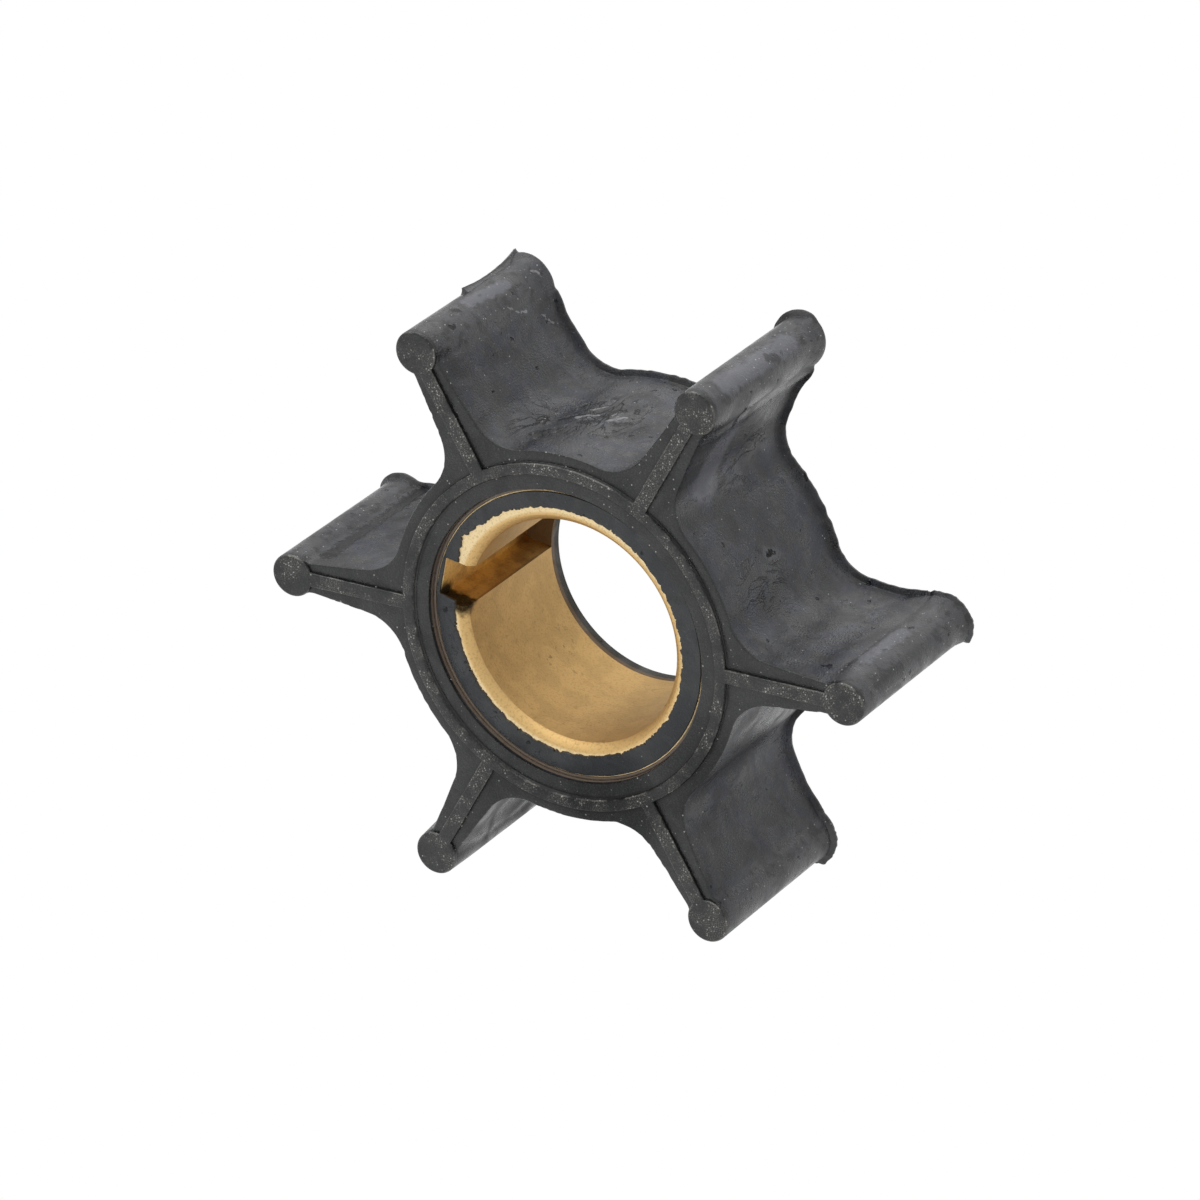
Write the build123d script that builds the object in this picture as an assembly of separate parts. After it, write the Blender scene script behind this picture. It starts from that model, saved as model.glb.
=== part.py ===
from build123d import *

import math
import os

# Flexible-vane water pump impeller, in millimetres.
# One moulded rubber body with six beaded vanes is bonded round a keyed brass bush.
# The spin axis is Y and the front end looks along -Y. The origin is on the axis, at mid-width,
# and the impeller stands on the beads of its two lowest vanes.

# Brass bush
BORE_DIAMETER = 20.4
BORE_CHAMFER = 0.6
BUSH_WALL = 3.1             # brass round the bore
BUSH_LENGTH = 14.0
BUSH_EDGE_CHAMFER = 0.25
KEYWAY_WIDTH = 4.0
KEYWAY_FLOOR_WALL = 0.75    # brass left between the keyway's flat floor and the rubber
KEYWAY_ANGLE = 168.0        # of its centre line, from +X towards +Z

# Rubber hub, and how it holds the bush
BODY_WIDTH = 18.4           # axial, over the raised rings and ribs
HUB_WALL = 3.6              # rubber round the bush
BUSH_RECESS = 1.15          # of the bush behind the front end
FILM_REACH = 2.0            # the moulding's thin film runs in over the bush's front face
FILM_THICKNESS = 0.2
COLLAR_THICKNESS = 1.8      # rubber behind the bush, flush with its bore, closes the keyway

# Raised ring and ribs on both ends
FACE_RELIEF = 0.35          # the web beside them lies this far lower
RING_INSET = 1.05           # from the hub's edge
RING_WIDTH = 1.1
RIB_WIDTH = 1.3

# Vanes
VANE_COUNT = 6
TIP_DIAMETER = 58.0         # over the tip beads
BEAD_DIAMETER = 3.9
BEAD_EDGE_CHAMFER = 0.2
VANE_TIP_THICKNESS = 2.3    # where the vane runs into its bead
VANE_ROOT_THICKNESS = 4.7   # where its flanks would meet the hub without a fillet
ROOT_FILLET = 4.2
NECK_FILLET = 1.2

# Moulding flash: a lip round the back end, and a torn fin on the crest of one bead
FLASH_REACH = 0.5
FLASH_THICKNESS = 0.5
FIN_VANE = 2                # counted from the vane along +X, towards +Z
FIN_LENGTH = 8.6
FIN_THICKNESS = 0.5
FIN_FRONT_HEIGHT = 0.45
FIN_MIDDLE_HEIGHT = 0.35
FIN_BACK_HEIGHT = 0.6

# Worked out from the sizes above
BORE_RADIUS = BORE_DIAMETER / 2
BUSH_RADIUS = BORE_RADIUS + BUSH_WALL
HUB_RADIUS = BUSH_RADIUS + HUB_WALL
BEAD_RADIUS = BEAD_DIAMETER / 2
BEAD_CENTRE = TIP_DIAMETER / 2 - BEAD_RADIUS
PITCH = 360 / VANE_COUNT

# Levels along the spin axis, measured from mid-width towards the front end
FRONT_LEVEL = BODY_WIDTH / 2
BACK_LEVEL = -FRONT_LEVEL
WEB_LEVEL = FRONT_LEVEL - FACE_RELIEF
BUSH_FRONT = FRONT_LEVEL - BUSH_RECESS
BUSH_BACK = BUSH_FRONT - BUSH_LENGTH
COLLAR_BACK = BUSH_BACK - COLLAR_THICKNESS

# Each piece is drawn flat and built up along its own Z, and is then stood up by this plane:
# drawn x and y become the model's X and Z, and drawn +Z looks along -Y, out of the front end.
FRONT_VIEW = Plane.XZ

# Sections along the spin axis are drawn with x out from the axis and y along it.
AXIAL_SECTION = Plane.XZ


def slab(profile, low, high):
    """A flat profile given thickness, from one level to another."""
    return extrude(Pos(0, 0, low) * profile, high - low)


def turned(*section):
    """A solid turned from a section, whose points are distances from the axis and levels."""
    return revolve(AXIAL_SECTION * make_face(Polyline(*section, close=True)), Axis.Z)


def at_every_vane(piece):
    """Copies of a piece that is drawn on the +X vane, one for each vane."""
    return [Rot(0, 0, PITCH * index) * piece for index in range(VANE_COUNT)]


def from_axis(corner):
    """How far a corner of a flat profile is from the spin axis."""
    return math.hypot(corner.X, corner.Y)


def vane_profile():
    """A tapered vane, from well inside the hub out to the centre of its bead."""
    half_root = VANE_ROOT_THICKNESS / 2
    half_tip = VANE_TIP_THICKNESS / 2
    taper = (half_root - half_tip) / (BEAD_CENTRE - HUB_RADIUS)
    start = HUB_RADIUS - half_root
    half_start = half_root + taper * (HUB_RADIUS - start)
    corners = [
        (start, -half_start),
        (BEAD_CENTRE, -half_tip),
        (BEAD_CENTRE, half_tip),
        (start, half_start),
    ]
    return Polygon(*corners, align=None)


def star_profile():
    """The outline of hub, vanes and beads, filleted at the roots and necks."""
    bead = Pos(BEAD_CENTRE, 0) * Circle(BEAD_RADIUS)
    star = Circle(HUB_RADIUS) + at_every_vane(vane_profile()) + at_every_vane(bead)
    neck = BEAD_CENTRE - BEAD_RADIUS
    flank = neck - HUB_RADIUS
    roots = [corner for corner in star.vertices() if from_axis(corner) < HUB_RADIUS + flank / 2]
    star = fillet(roots, min(ROOT_FILLET, flank * 0.8))
    necks = [corner for corner in star.vertices() if neck < from_axis(corner) < BEAD_CENTRE]
    return fillet(necks, min(NECK_FILLET, flank * 0.2))


def raised_profile():
    """What stands above the web: a ring, a rib down each vane and the ends of the beads."""
    ring_outside = HUB_RADIUS - RING_INSET
    ring = Circle(ring_outside) - Circle(ring_outside - RING_WIDTH)
    rib_start = ring_outside - RING_WIDTH / 2
    rib_length = BEAD_CENTRE - rib_start
    rib = Pos(rib_start + rib_length / 2, 0) * Rectangle(rib_length, RIB_WIDTH)
    bead_end = Pos(BEAD_CENTRE, 0) * Circle(BEAD_RADIUS)
    return ring + at_every_vane(rib) + at_every_vane(bead_end)


def bead_end_edges(body):
    """The round edges at both ends of the beads."""
    return [
        edge for edge in body.edges().filter_by(GeomType.CIRCLE)
        if abs(edge.radius - BEAD_RADIUS) < 1e-3
        and abs(abs(edge.center().Z) - FRONT_LEVEL) < 1e-3
    ]


def flash_lip(star):
    """The thin lip that the mould joint leaves all round the back end."""
    return slab(offset(star, FLASH_REACH), -WEB_LEVEL, -WEB_LEVEL + FLASH_THICKNESS)


def crest_fin():
    """A fin of flash along the crest of one bead, torn off unevenly towards the back end."""
    crest = BEAD_CENTRE + BEAD_RADIUS
    fin_front = BACK_LEVEL + FIN_LENGTH
    torn_edge = Spline(
        (crest + FIN_FRONT_HEIGHT, fin_front),
        (crest + FIN_MIDDLE_HEIGHT, BACK_LEVEL + FIN_LENGTH / 2),
        (crest + FIN_BACK_HEIGHT, BACK_LEVEL),
    )
    foot = Polyline(
        torn_edge @ 1,
        (BEAD_CENTRE, BACK_LEVEL),
        (BEAD_CENTRE, fin_front),
        torn_edge @ 0,
    )
    blade = extrude(AXIAL_SECTION * make_face(torn_edge + foot), FIN_THICKNESS / 2, both=True)
    return Rot(0, 0, PITCH * FIN_VANE) * blade


def keyway():
    """What the keyway takes away: from the bore out to its floor, and out of the front end."""
    floor = BUSH_RADIUS - KEYWAY_FLOOR_WALL
    slot = slab(Pos(floor / 2, 0) * Rectangle(floor, KEYWAY_WIDTH), BUSH_BACK, FRONT_LEVEL)
    return Rot(0, 0, KEYWAY_ANGLE) * slot


def hub_hollow():
    """The hollow of the moulding: the bush's own shape, and the bore past it at both ends."""
    return turned(
        (0, FRONT_LEVEL),
        (BUSH_RADIUS, FRONT_LEVEL),
        (BUSH_RADIUS, BUSH_FRONT + FILM_THICKNESS),
        (BUSH_RADIUS - FILM_REACH, BUSH_FRONT + FILM_THICKNESS),
        (BUSH_RADIUS - FILM_REACH, BUSH_FRONT),
        (BUSH_RADIUS - BUSH_EDGE_CHAMFER, BUSH_FRONT),
        (BUSH_RADIUS, BUSH_FRONT - BUSH_EDGE_CHAMFER),
        (BUSH_RADIUS, BUSH_BACK),
        (BORE_RADIUS, BUSH_BACK),
        (BORE_RADIUS, COLLAR_BACK + BORE_CHAMFER),
        (BORE_RADIUS + BORE_CHAMFER, COLLAR_BACK),
        (BUSH_RADIUS, COLLAR_BACK),
        (BUSH_RADIUS, BACK_LEVEL),
        (0, BACK_LEVEL),
    )


def impeller_body():
    """The rubber moulding."""
    star = star_profile()
    body = slab(star, -WEB_LEVEL, WEB_LEVEL)
    body += slab(raised_profile(), BACK_LEVEL, FRONT_LEVEL)
    body = chamfer(bead_end_edges(body), BEAD_EDGE_CHAMFER)
    body += flash_lip(star)
    body += crest_fin()
    return body - hub_hollow() - keyway()


def hub_bush():
    """The brass bush, with a chamfered mouth and a flat-bottomed keyway along its whole length."""
    bush = turned(
        (BORE_RADIUS, BUSH_BACK),
        (BUSH_RADIUS, BUSH_BACK),
        (BUSH_RADIUS, BUSH_FRONT - BUSH_EDGE_CHAMFER),
        (BUSH_RADIUS - BUSH_EDGE_CHAMFER, BUSH_FRONT),
        (BORE_RADIUS + BORE_CHAMFER, BUSH_FRONT),
        (BORE_RADIUS, BUSH_FRONT - BORE_CHAMFER),
    )
    return bush - keyway()


os.makedirs("parts", exist_ok=True)
for name, piece in (("impeller_body", impeller_body()), ("hub_bush", hub_bush())):
    export_step(FRONT_VIEW * piece, f"parts/{name}.step")
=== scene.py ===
"""A flexible-vane water pump impeller: one rubber moulding bonded round a keyed brass bush."""

import math

import bmesh
import bpy
from bpy.props import FloatProperty, FloatVectorProperty, PointerProperty
from mathutils import Matrix, Vector, noise


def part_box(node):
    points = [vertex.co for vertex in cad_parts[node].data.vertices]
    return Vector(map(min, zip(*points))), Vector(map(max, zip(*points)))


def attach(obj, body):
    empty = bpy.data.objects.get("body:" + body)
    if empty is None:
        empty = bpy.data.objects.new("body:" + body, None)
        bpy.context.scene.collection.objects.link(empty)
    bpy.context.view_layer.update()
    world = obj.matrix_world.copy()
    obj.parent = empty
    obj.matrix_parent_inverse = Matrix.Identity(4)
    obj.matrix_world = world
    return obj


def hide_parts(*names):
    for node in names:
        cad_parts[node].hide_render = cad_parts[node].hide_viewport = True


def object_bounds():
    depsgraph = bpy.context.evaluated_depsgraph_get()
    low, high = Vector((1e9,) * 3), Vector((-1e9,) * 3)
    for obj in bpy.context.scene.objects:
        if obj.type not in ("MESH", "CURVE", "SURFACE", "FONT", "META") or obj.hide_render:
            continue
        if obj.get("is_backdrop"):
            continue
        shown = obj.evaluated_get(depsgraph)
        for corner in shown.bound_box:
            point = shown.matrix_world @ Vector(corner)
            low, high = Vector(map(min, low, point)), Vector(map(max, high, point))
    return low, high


bl_info = {
    "name": "Flexible-vane pump impeller",
    "version": (1, 0, 0),
    "blender": (4, 5, 0),
    "location": "View3D > Sidebar > Impeller",
    "description": "Builds a rubber pump impeller with a brass bush, and its stage",
    "category": "Object",
}

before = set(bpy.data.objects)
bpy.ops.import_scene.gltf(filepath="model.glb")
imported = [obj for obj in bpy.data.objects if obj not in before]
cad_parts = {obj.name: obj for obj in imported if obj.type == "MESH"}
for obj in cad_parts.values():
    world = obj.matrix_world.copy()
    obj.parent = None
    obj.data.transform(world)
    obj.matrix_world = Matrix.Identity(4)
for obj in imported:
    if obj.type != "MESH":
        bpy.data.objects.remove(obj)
CAD_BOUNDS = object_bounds()

# Shapes are worked out in millimetres and scaled to metres when a piece is finished.
MM = 0.001
VANES = 6
BUSH_LOW, BUSH_HIGH = (Vector(corner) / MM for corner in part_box("hub_bush"))
BODY_LOW, BODY_HIGH = (Vector(corner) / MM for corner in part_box("impeller_body"))
BUSH_RADIUS = BUSH_HIGH.x
HALF_WIDTH = BODY_HIGH.y

# The front end looks along -Y, and a level is measured from mid-width towards it.
BUSH_FRONT = -BUSH_LOW.y
BUSH_BACK = -BUSH_HIGH.y
AXIS = Vector((0, -1, 0))
ORIGIN = Vector((0, 0, 0))
FACING = Matrix.Rotation(math.pi / 2, 4, "X")


def length(name, description, default):
    """A length property, whose default is given in millimetres."""
    return FloatProperty(
        name=name, description=description, default=default * MM, min=0.0, precision=5, unit="LENGTH"
    )


def tint(name, description, default):
    """A colour property, whose default is an sRGB hex value."""
    return FloatVectorProperty(
        name=name, description=description, default=linear(default)[:3], size=3, min=0.0, max=1.0,
        subtype="COLOR",
    )


def linear(hex_value):
    """An sRGB hex value as a linear colour."""
    channels = [int(hex_value[i : i + 2], 16) / 255 for i in (1, 3, 5)]
    bright = [c / 12.92 if c <= 0.04045 else ((c + 0.055) / 1.055) ** 2.4 for c in channels]
    return (*bright, 1.0)


class ImpellerRubber(bpy.types.PropertyGroup):
    """Sizes and colours of the rubber moulding."""

    bead_diameter: length("Bead diameter", "Round sealing bead along each vane tip", 3.9)
    tip_diameter: length("Tip diameter", "Over the beads", 58.0)
    hub_diameter: length("Hub diameter", "Rubber hub between the vanes", 33.8)
    vane_tip: length("Vane tip thickness", "Where a vane runs into its bead", 2.3)
    vane_root: length("Vane root thickness", "Where a vane meets the hub", 4.7)
    root_fillet: length("Root fillet", "Radius between vane and hub", 4.2)
    neck_fillet: length("Neck fillet", "Radius between vane and bead", 1.5)
    relief: length("Face relief", "How far the web lies below the ring and ribs", 0.35)
    ring_diameter: length("Ring diameter", "Outside of the raised ring", 31.7)
    ring_width: length("Ring width", "Of the raised ring's crest", 1.1)
    collar_bore: length("Collar bore", "Hole in the rubber behind the bush", 20.4)
    rib_width: length("Rib width", "Raised rib down each vane", 1.3)
    flash_reach: length("Flash reach", "Usual width of the moulding lip round the back end", 0.5)
    colour: tint("Rubber colour", "The plain charcoal of the moulding", "#16171B")
    bloom: tint("Bloom colour", "The greyer skin that the mould leaves", "#202227")


class ImpellerBrass(bpy.types.PropertyGroup):
    """Sizes and colours of the brass bush."""

    bore_diameter: length("Bore diameter", "Takes the drive shaft", 20.4)
    bore_chamfer: length("Bore chamfer", "At the bush's front mouth", 0.6)
    keyway_width: length("Keyway width", "Takes the drive key", 4.0)
    keyway_floor: length("Keyway floor", "From the spin axis to the keyway's floor", 12.55)
    keyway_angle: FloatProperty(
        name="Keyway angle", description="Of its centre line, from +X towards +Z",
        default=math.radians(168), subtype="ANGLE",
    )
    colour: tint("Brass colour", "The metal where it is bare", "#CCA970")


class ImpellerStage(bpy.types.PropertyGroup):
    """The floor and the light."""

    floor_size: length("Floor size", "Edge of the square floor", 1200.0)
    key_power: FloatProperty(
        name="Key lamp", description="Power of the lamp overhead", default=1.15, unit="POWER"
    )
    back_power: FloatProperty(
        name="Back lamp", description="Power of the lamp behind", default=0.62, unit="POWER"
    )
    ambient: FloatProperty(
        name="Ambient", description="Strength of the plain surrounding light", default=0.73
    )


# Shapes


def swing(bm, vert, centre, degrees, spacing):
    """Carries a vertex round a centre, from +X towards +Z, and leaves an arc of short edges."""
    centre = Vector(centre)
    run = abs(math.radians(degrees)) * (vert.co - centre).length
    made = bmesh.ops.spin(
        bm, geom=[vert], cent=centre, axis=AXIS, angle=math.radians(degrees),
        steps=max(2, round(run / spacing)),
    )
    return next(item for item in made["geom_last"] if isinstance(item, bmesh.types.BMVert))


def draw_to(bm, vert, place, spacing):
    """Draws a straight line on from a vertex, in short edges."""
    way = Vector(place) - vert.co
    steps = max(1, round(way.length / spacing))
    for _ in range(steps):
        vert = bmesh.ops.extrude_vert_indiv(bm, verts=[vert])["verts"][0]
        bmesh.ops.translate(bm, verts=[vert], vec=way / steps)
    return vert


def in_order(bm):
    """The vertices of the one closed outline in a bmesh, from +X towards +Z."""
    first = max(bm.verts, key=lambda vert: vert.co.x)
    ring = [first]
    following = max((edge.other_vert(first) for edge in first.link_edges), key=lambda vert: vert.co.z)
    while following is not first:
        ring.append(following)
        following = next(
            other for other in (edge.other_vert(following) for edge in following.link_edges)
            if other is not ring[-2]
        )
    return ring


def outward(ring):
    """The direction straight out of a closed outline at each of its vertices."""
    count = len(ring)
    away = []
    for index in range(count):
        along = ring[(index + 1) % count].co - ring[index - 1].co
        away.append(Vector((along.z, 0, -along.x)).normalized())
    return away


def edges_of(ring):
    """The edges between neighbours in a closed ring of vertices."""
    return [
        next(edge for edge in vert.link_edges if edge.other_vert(vert) is ring[index - 1])
        for index, vert in enumerate(ring)
    ]


def edges_at(bm, level):
    """The edges that lie flat at a level."""
    return [edge for edge in bm.edges if all(abs(vert.co.y + level) < 1e-4 for vert in edge.verts)]


def drawn_on(bm, ring, places):
    """Extrudes a closed ring of vertices to new places, and returns the new ring."""
    held = set(ring)
    made = bmesh.ops.extrude_edge_only(bm, edges=edges_of(ring))
    fresh = {item for item in made["geom"] if isinstance(item, bmesh.types.BMVert)}
    new_ring = []
    for vert, place in zip(ring, places):
        partner = next(
            edge.other_vert(vert) for edge in vert.link_edges
            if edge.other_vert(vert) in fresh and edge.other_vert(vert) not in held
        )
        partner.co = place
        new_ring.append(partner)
    return new_ring


def join_on(bm, part):
    """Adds a finished part to a piece's bmesh. Spinning a part by itself is far quicker."""
    held = bpy.data.meshes.new("part")
    part.to_mesh(held)
    part.free()
    bm.from_mesh(held)
    bpy.data.meshes.remove(held)


def lathe(section, segments):
    """Turns a section of (distance from the axis, level) corners right round the spin axis."""
    bm = bmesh.new()
    verts = [bm.verts.new((distance, -level, 0)) for distance, level in section]
    edges = [bm.edges.new(pair) for pair in zip(verts, verts[1:])]
    bmesh.ops.spin(
        bm, geom=verts + edges, cent=ORIGIN, axis=AXIS, angle=math.tau, steps=segments, use_merge=True
    )
    return bm


def rounded(section, radius, steps=3):
    """A section with its inner corners rounded off."""
    out = [section[0]]
    for before, corner, after in zip(section, section[1:], section[2:]):
        before, corner, after = Vector(before), Vector(corner), Vector(after)
        room = min((before - corner).length, (after - corner).length) * 0.45
        cut = min(radius, room)
        start = corner + (before - corner).normalized() * cut
        end = corner + (after - corner).normalized() * cut
        for step in range(steps + 1):
            t = step / steps
            out.append(tuple((1 - t) ** 2 * start + 2 * t * (1 - t) * corner + t**2 * end))
    out.append(section[-1])
    return out


def bumps(place, size, seed=0.0):
    """Smooth noise from -1 to 1, whose bumps are about as large as the size given."""
    return noise.noise((place + Vector((seed, seed * 0.7, -seed))) / size)


def angle_of(place):
    """A place's angle round the spin axis in degrees, from +X towards +Z."""
    return math.degrees(math.atan2(place.z, place.x)) % 360


def on_vane(place, degrees):
    """Whether a place on the outline lies on the vane at an angle, within 9 degrees to either side."""
    return abs((angle_of(place) - degrees + 180) % 360 - 180) < 9


def clamped(value):
    """A value kept between 0 and 1."""
    return min(1.0, max(0.0, value))


def finished(bm, name, node, material, smooth=40):
    """Makes a piece of a bmesh drawn in millimetres, and seats it on the frame."""
    bmesh.ops.scale(bm, verts=bm.verts, vec=(MM, MM, MM))
    for face in bm.faces:
        face.smooth = True
    for edge in bm.edges:
        if len(edge.link_faces) == 2 and edge.calc_face_angle() > math.radians(smooth):
            edge.smooth = False
    mesh = bpy.data.meshes.new(name)
    bm.to_mesh(mesh)
    bm.free()
    piece = bpy.data.objects.new(name, mesh)
    bpy.context.scene.collection.objects.link(piece)
    mesh.materials.append(material)
    weighted = piece.modifiers.new("Weighted normals", "WEIGHTED_NORMAL")
    weighted.keep_sharp = True
    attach(piece, "root")
    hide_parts(node)
    return piece


# The rubber moulding


def at_every_vane(part):
    """Repeats a part that is drawn on the +X vane."""
    bmesh.ops.spin(
        part, geom=part.verts[:] + part.edges[:] + part.faces[:], cent=ORIGIN, axis=AXIS,
        angle=math.tau * (VANES - 1) / VANES, steps=VANES - 1, use_duplicate=True,
    )


def draw_star(bm, sizes, spacing=0.16):
    """The outline of hub, vanes and beads: half a vane is drawn, mirrored and repeated."""
    hub = sizes.hub_diameter / 2 / MM
    bead = sizes.bead_diameter / 2 / MM
    bead_at = Vector((sizes.tip_diameter / 2 / MM - bead, 0, 0))
    half_root, half_tip = sizes.vane_root / 2 / MM, sizes.vane_tip / 2 / MM
    root, neck = sizes.root_fillet / MM, sizes.neck_fillet / MM
    flank = Vector((bead_at.x - hub, 0, half_tip - half_root)).normalized()
    away = Vector((-flank.z, 0, flank.x))
    at_hub = Vector((hub, 0, half_root))

    def centre_along(radius, middle, reach, sign):
        """Where a circle that touches the flank also lies at a given reach from another centre."""
        base = at_hub + away * radius - middle
        along = base.dot(flank)
        return base + middle + flank * (
            -along + sign * math.sqrt(along**2 - base.length_squared + reach**2)
        )

    root_centre = centre_along(root, ORIGIN, hub + root, 1)
    neck_centre = centre_along(neck, bead_at, bead + neck, -1)
    to_root = math.degrees(math.atan2(root_centre.z, root_centre.x))
    start = bm.verts.new((hub * math.cos(math.pi / VANES), 0, hub * math.sin(math.pi / VANES)))
    vert = swing(bm, start, ORIGIN, to_root - 180 / VANES, spacing)
    turn = math.degrees((-root_centre).angle(-away))
    vert = swing(bm, vert, root_centre, turn, spacing)
    vert = draw_to(bm, vert, neck_centre - away * neck, spacing)
    to_bead = bead_at - neck_centre
    vert = swing(bm, vert, neck_centre, math.degrees(to_bead.angle(-away)), spacing)
    round_bead = math.degrees(math.atan2(-to_bead.z, -to_bead.x))
    swing(bm, vert, bead_at, -round_bead, spacing)
    half = bmesh.ops.duplicate(bm, geom=bm.verts[:] + bm.edges[:])["geom"]
    bmesh.ops.scale(
        bm, verts=[item for item in half if isinstance(item, bmesh.types.BMVert)], vec=(1, 1, -1)
    )
    at_every_vane(bm)
    bmesh.ops.remove_doubles(bm, verts=bm.verts, dist=0.02)
    return in_order(bm)


def flash_reach(place, usual):
    """How far the lip of flash stands out at a place on the back outline."""
    turn = angle_of(place)
    tip = clamped((place.length - 24.5) / 1.5)
    knobs = 0.3 if 12 < turn < 48 or 68 < turn < 96 else 0.1
    reach = usual * (1 + 0.1 * bumps(place, 2.3, 4) + knobs * bumps(place, 0.7, 9))
    if on_vane(place, 0):
        below = clamped((-1.15 - place.z) / 0.15)
        teeth = abs(bumps(place, 0.4, 2)) + 0.5 * abs(bumps(place, 0.18, 5))
        reach += tip * (0.04 + 0.22 * teeth)
        reach *= 1 - 0.85 * tip * below
    if on_vane(place, 300):
        reach += tip * 0.3 * abs(bumps(place, 0.4, 7))
    if on_vane(place, 60):
        reach *= 1 - 0.5 * tip * clamped((60.5 - turn) / 1.5)
    if on_vane(place, 180) and place.z < 0.6:
        reach *= 1 - 0.85 * tip
    return reach


def soft_tip(place):
    """1 where the lip at a vane's tip runs out smoothly over the bead, and 0 where it stands up sharply."""
    tip = clamped((place.length - 23.5) / 2.0)
    if on_vane(place, 60):
        return tip * clamped((61.5 - angle_of(place)) / 2.0)
    if on_vane(place, 0):
        return 0.6 * tip
    return tip if on_vane(place, 120) else 0.2 * tip


# About how far from the axis the hollow between a vane and its bead lies.
NECK = 25.0


def neck_fill(place, level):
    """How far the rubber fills the hollow between a vane and its bead, away from the crisp front edge."""
    if place.length < 21 or (place.z < 0 and on_vane(place, 0)):
        return 0.0
    deeper = clamped((8.9 - level) / 1.6)
    turns = [vane * math.tau / VANES for vane in range(VANES)]
    along = max(place.x * math.cos(turn) + place.z * math.sin(turn) for turn in turns)
    full = 0.12 if on_vane(place, 180) else 0.55
    return full * deeper * math.exp(-(((along - NECK) / 1.6) ** 2))


def draw_walls(bm, ring, sizes):
    """The side of the moulding, from its nibbled front edge to the lip of flash at the back."""
    web = HALF_WIDTH - sizes.relief / MM
    places = [vert.co.copy() for vert in ring]
    away = outward(ring)
    usual = sizes.flash_reach / MM
    edge = [0.13 + 0.05 * bumps(p, 0.9, 1) + 0.22 * max(0.0, bumps(p, 0.45, 6) - 0.1) for p in places]
    reach = [flash_reach(p, usual) for p in places]
    soft = [soft_tip(p) for p in places]

    def level_with(offsets, levels):
        return [
            place + out * (offset + neck_fill(place, level)) - Vector((0, level, 0))
            for place, out, offset, level in zip(places, away, offsets, levels)
        ]

    # The front edge is rounded off in three steps.
    for vert, place in zip(ring, level_with([-e for e in edge], [web] * len(ring))):
        vert.co = place
    for turn in (30, 60, 90):
        drop, back_off = 1 - math.cos(math.radians(turn)), 1 - math.sin(math.radians(turn))
        ring = drawn_on(
            bm, ring, level_with([-e * back_off for e in edge], [web - e * drop for e in edge])
        )
    # The mould parted here, and the lip of flash lies behind it.
    joint = -web + 0.55
    for step in range(1, 8):
        level = web - 0.3 + (joint + 1.6 - web + 0.3) * step / 7
        ring = drawn_on(bm, ring, level_with([0.0] * len(ring), [level] * len(ring)))
    for share, ahead in ((0.08, 1.15), (0.28, 0.8), (0.52, 0.45), (0.78, 0.0)):
        ring = drawn_on(
            bm, ring, level_with([r * s * share for r, s in zip(reach, soft)], [joint + ahead] * len(ring))
        )
    # Where the tip is soft the lip is already out by here, and elsewhere it stands up in these steps.
    for share, drop in ((0.06, 0.07), (0.3, 0.13), (0.75, 0.2), (1.0, 0.3), (1.0, 0.42), (0.9, 0.55)):
        already = 0.78 + 0.22 * min(1.0, drop / 0.3) if share < 0.9 else 0.0
        offsets = [r * max(share, already * s) for r, s in zip(reach, soft)]
        ring = drawn_on(bm, ring, level_with(offsets, [joint - drop] * len(ring)))


def close_end(bm, level):
    """The flat web at one end, between the outline and the foot of the raised ring."""
    rims = [edge for edge in edges_at(bm, level) if edge.is_boundary]
    bmesh.ops.triangle_fill(bm, edges=rims, use_beauty=True)


# About how far from the axis the film on the bush's face ends.
FILM_EDGE = 11.3


def film_edge(out):
    """The ragged inner edge of the film on the bush's face, as a distance from the axis."""
    turn = angle_of(out)
    # Each of these peaks at one angle. The film is torn back at the first four and left on at the last.
    spot, left, top, low, patch = (
        max(0.0, math.cos(math.radians(turn - at))) for at in (149, 138, 95, 230, 161)
    )
    place = out * FILM_EDGE
    edge = 11.06 + 0.55 * spot**80 + 0.45 * left**12 + 0.34 * top**2 + 0.22 * low**2 - 0.35 * patch**180
    rough = 1 + 1.2 * left**8
    edge += rough * (0.08 * bumps(place, 1.3, 3) + 0.12 * bumps(place, 0.5, 8) + 0.07 * bumps(place, 0.2, 5))
    return edge + 0.7 * max(0.0, bumps(place, 0.22, 6) - 0.33)


def keyway_clear(out, sizes):
    """How far from the axis the film has to end to clear the keyway, whose lower side it hangs over."""
    off = (angle_of(out) - math.degrees(sizes.keyway_angle) + 180) % 360 - 180
    floor, side = sizes.keyway_floor / MM + 0.06, sizes.keyway_width / 2 / MM + 0.03
    if off > 0:
        side -= 0.42 + 0.2 * bumps(out * FILM_EDGE, 0.6, 4)
    off = math.radians(abs(off))
    if off > math.radians(12):
        return 0.0
    if math.tan(off) < side / floor:
        return floor / math.cos(off)
    return side / math.sin(off)


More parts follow.
